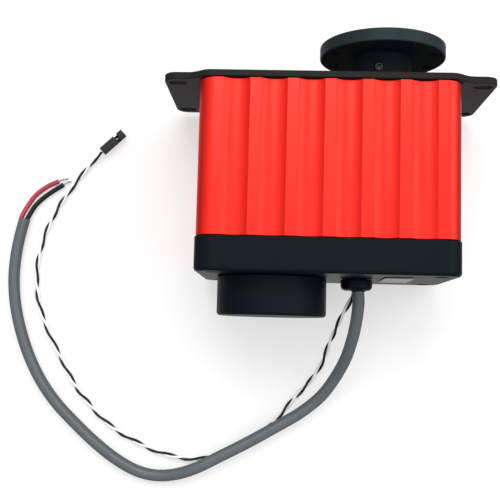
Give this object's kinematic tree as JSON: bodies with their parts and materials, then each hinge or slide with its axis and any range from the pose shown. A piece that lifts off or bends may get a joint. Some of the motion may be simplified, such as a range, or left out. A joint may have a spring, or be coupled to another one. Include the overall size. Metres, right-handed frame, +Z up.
{
  "type": "rotary servo actuator",
  "caption": "Large rotary servo actuator: ribbed metal body, slotted mounting ears, offset round output disc, motor cap, grey cable and twisted signal pair.",
  "frame": {"origin": "on the surface that the actuator lies on, under the middle of the body's bounding box, its free leads left out", "axes": "+Y out of the output disc's face, away from the motor; +Z up out of the ribbed front; +X to the side that holds the output shaft"},
  "size_m": [0.2039, 0.1843, 0.061],
  "materials": {
    "red_anodised": "satin red anodised",
    "black_anodised": "satin black anodised",
    "black_plastic": "moulded satin black",
    "plug_plastic": "moulded",
    "gland_plastic": "glossy black",
    "steel": "ground",
    "black_steel": "black oxide",
    "brass": "machined",
    "bronze": "sintered",
    "bare_aluminium": "machined",
    "ferrite": "matt",
    "copper": "wound",
    "carbon": "matt",
    "circuit_board": "lacquered",
    "label": "satin film",
    "cable_grey": "soft satin",
    "wire_red": "satin",
    "wire_black": "satin",
    "tinned_copper": "tinned"
  },
  "bodies": {
    "case": {"ribbed_housing": "red_anodised", "mounting_plate": "black_anodised", "bottom_cap": "black_anodised", "motor_cap": "black_plastic", "end_label": "label", "plate_screw_1": "steel", "plate_screw_2": "steel", "plate_screw_3": "steel", "plate_screw_4": "steel", "cap_screw_1": "black_steel", "cap_screw_2": "black_steel", "cap_screw_3": "black_steel", "cap_screw_4": "black_steel", "gear_plate": "bare_aluminium", "gear_post_1": "bare_aluminium", "gear_post_2": "bare_aluminium", "gear_post_3": "bare_aluminium", "gear_post_4": "bare_aluminium", "idler_axle_1": "steel", "idler_axle_2": "steel", "output_bush": "bronze", "feedback_sensor": "black_plastic", "bearing_carrier": "bare_aluminium", "bearing_outer_ring": "steel", "motor_can": "steel", "motor_end_bell": "black_plastic", "motor_magnet_1": "ferrite", "motor_magnet_2": "ferrite", "motor_brush_1": "carbon", "motor_brush_2": "carbon", "motor_screw_1": "steel", "motor_screw_2": "steel", "controller_board": "circuit_board", "power_transistor_1": "black_plastic", "power_transistor_2": "black_plastic", "smoothing_capacitor": "black_plastic", "cable_gland": "gland_plastic", "gland_nut": "gland_plastic", "cable_jacket": "cable_grey", "red_lead": "wire_red", "black_lead": "wire_black", "red_lead_strands": "tinned_copper", "black_lead_strands": "tinned_copper", "signal_pair": "wire_black", "signal_plug": "plug_plastic"},
    "motor_rotor": {"motor_shaft": "steel", "rotor_core": "copper", "commutator": "copper", "motor_pinion": "brass"},
    "idler_1": {"idler_gear_1": "brass"},
    "idler_2": {"idler_gear_2": "brass"},
    "idler_3": {"idler_gear_3": "brass"},
    "output": {"output_shaft": "steel", "output_gear": "steel", "output_disc": "black_anodised", "hub_set_screw": "black_steel", "shaft_collar": "steel", "feedback_shaft": "steel", "bearing_inner_ring": "steel"},
    "ball_cage": {"bearing_ball_cage": "brass"}
  },
  "joints": [
    {"name": "motor_turn", "type": "hinge", "parent": "case", "child": "motor_rotor", "pos_m": [-0.0212, 0, 0.0305], "axis": [0, 1, 0], "range_deg": [-11083, 11083]},
    {"name": "idler_1_turn", "type": "hinge", "parent": "case", "child": "idler_1", "pos_m": [-0.00197, 0, 0.03842], "axis": [0, 1, 0], "range_deg": [-3325, 3325]},
    {"name": "idler_2_turn", "type": "hinge", "parent": "case", "child": "idler_2", "pos_m": [-0.01482, 0, 0.0231], "axis": [0, 1, 0], "range_deg": [-1050, 1050]},
    {"name": "idler_3_turn", "type": "hinge", "parent": "case", "child": "idler_3", "pos_m": [-0.00197, 0, 0.03842], "axis": [0, 1, 0], "range_deg": [-450, 450]},
    {"name": "output_turn", "type": "hinge", "parent": "case", "child": "output", "pos_m": [0.0228, 0, 0.0305], "axis": [0, 1, 0], "range_deg": [-135, 135]},
    {"name": "ball_cage_turn", "type": "hinge", "parent": "case", "child": "ball_cage", "pos_m": [0.0228, 0, 0.0305], "axis": [0, 1, 0], "range_deg": [-60, 60]}
  ],
  "couplings": [
    {"joint": "idler_1_turn", "follows": "motor_turn", "ratio": -0.3},
    {"joint": "idler_2_turn", "follows": "motor_turn", "ratio": 0.094737},
    {"joint": "idler_3_turn", "follows": "motor_turn", "ratio": -0.040602},
    {"joint": "output_turn", "follows": "motor_turn", "ratio": 0.01218},
    {"joint": "ball_cage_turn", "follows": "motor_turn", "ratio": 0.0053368}
  ]
}
